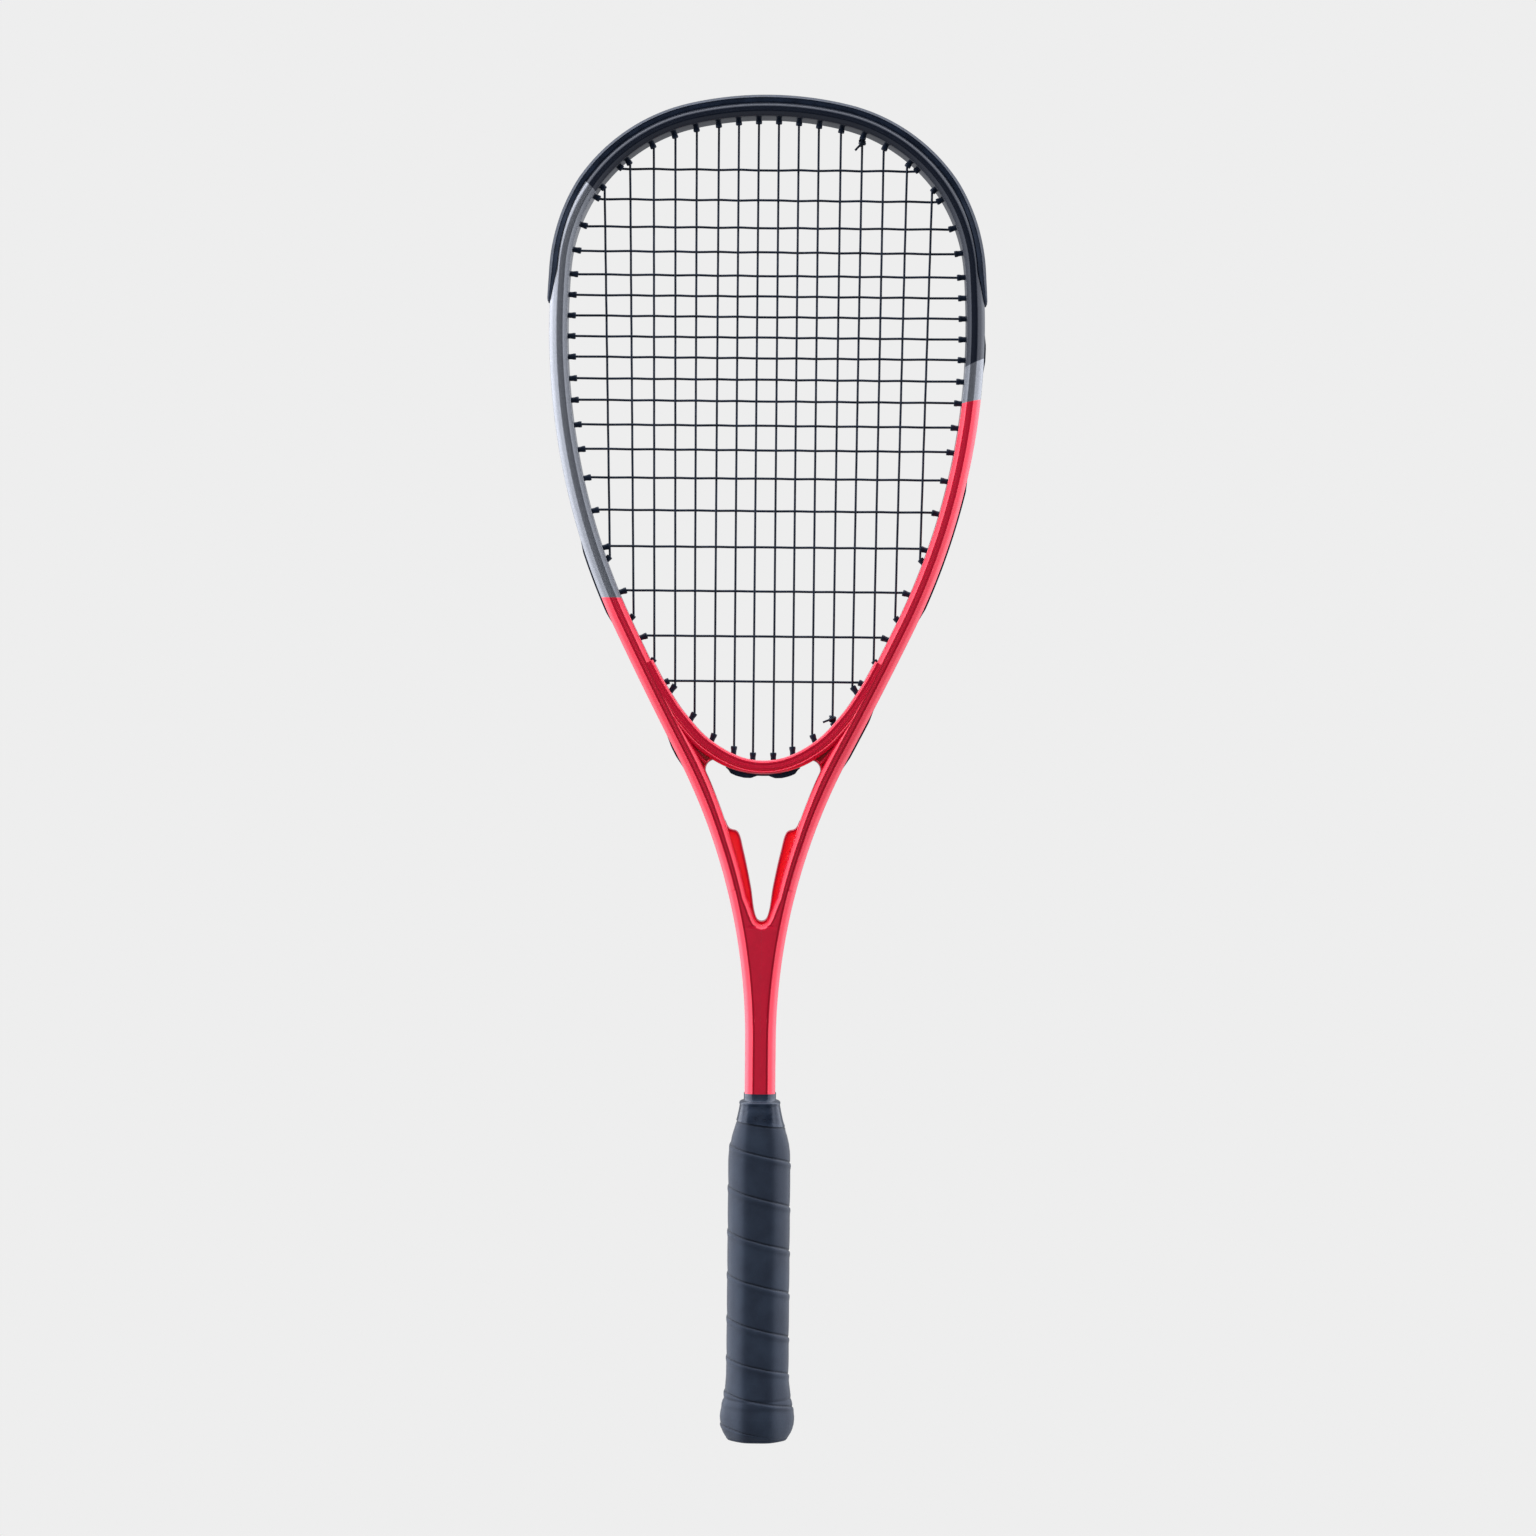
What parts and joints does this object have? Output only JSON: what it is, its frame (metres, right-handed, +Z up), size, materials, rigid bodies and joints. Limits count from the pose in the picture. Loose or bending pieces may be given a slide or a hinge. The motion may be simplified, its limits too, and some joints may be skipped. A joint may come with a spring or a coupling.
{
  "type": "squash racket",
  "caption": "Squash racket with an oval strung head, an open throat, a bumper guard and a wound grip with a flared butt.",
  "frame": {"origin": "centre of the flat end of the butt", "axes": "+Z runs up the handle to the tip of the head, X lies across the head in the plane of the strings, and Y is at right angles to the strings"},
  "size_m": [0.2248, 0.0319, 0.686],
  "materials": {
    "frame_paint": "gloss",
    "guard_plastic": "satin",
    "string": "satin",
    "pallet_foam": "matte",
    "cap_plastic": "satin",
    "grip": "matte",
    "tape": "satin"
  },
  "bodies": {
    "root": {"frame": "frame_paint", "bumper_guard": "guard_plastic", "left_grommet_strip": "guard_plastic", "right_grommet_strip": "guard_plastic", "bridge_grommet_strip": "guard_plastic", "main_strings": "string", "cross_strings": "string", "string_loops": "string", "string_knots": "string", "handle_pallet": "pallet_foam", "butt_cap": "cap_plastic", "grip_tape": "grip", "finishing_tape": "tape"}
  },
  "joints": []
}
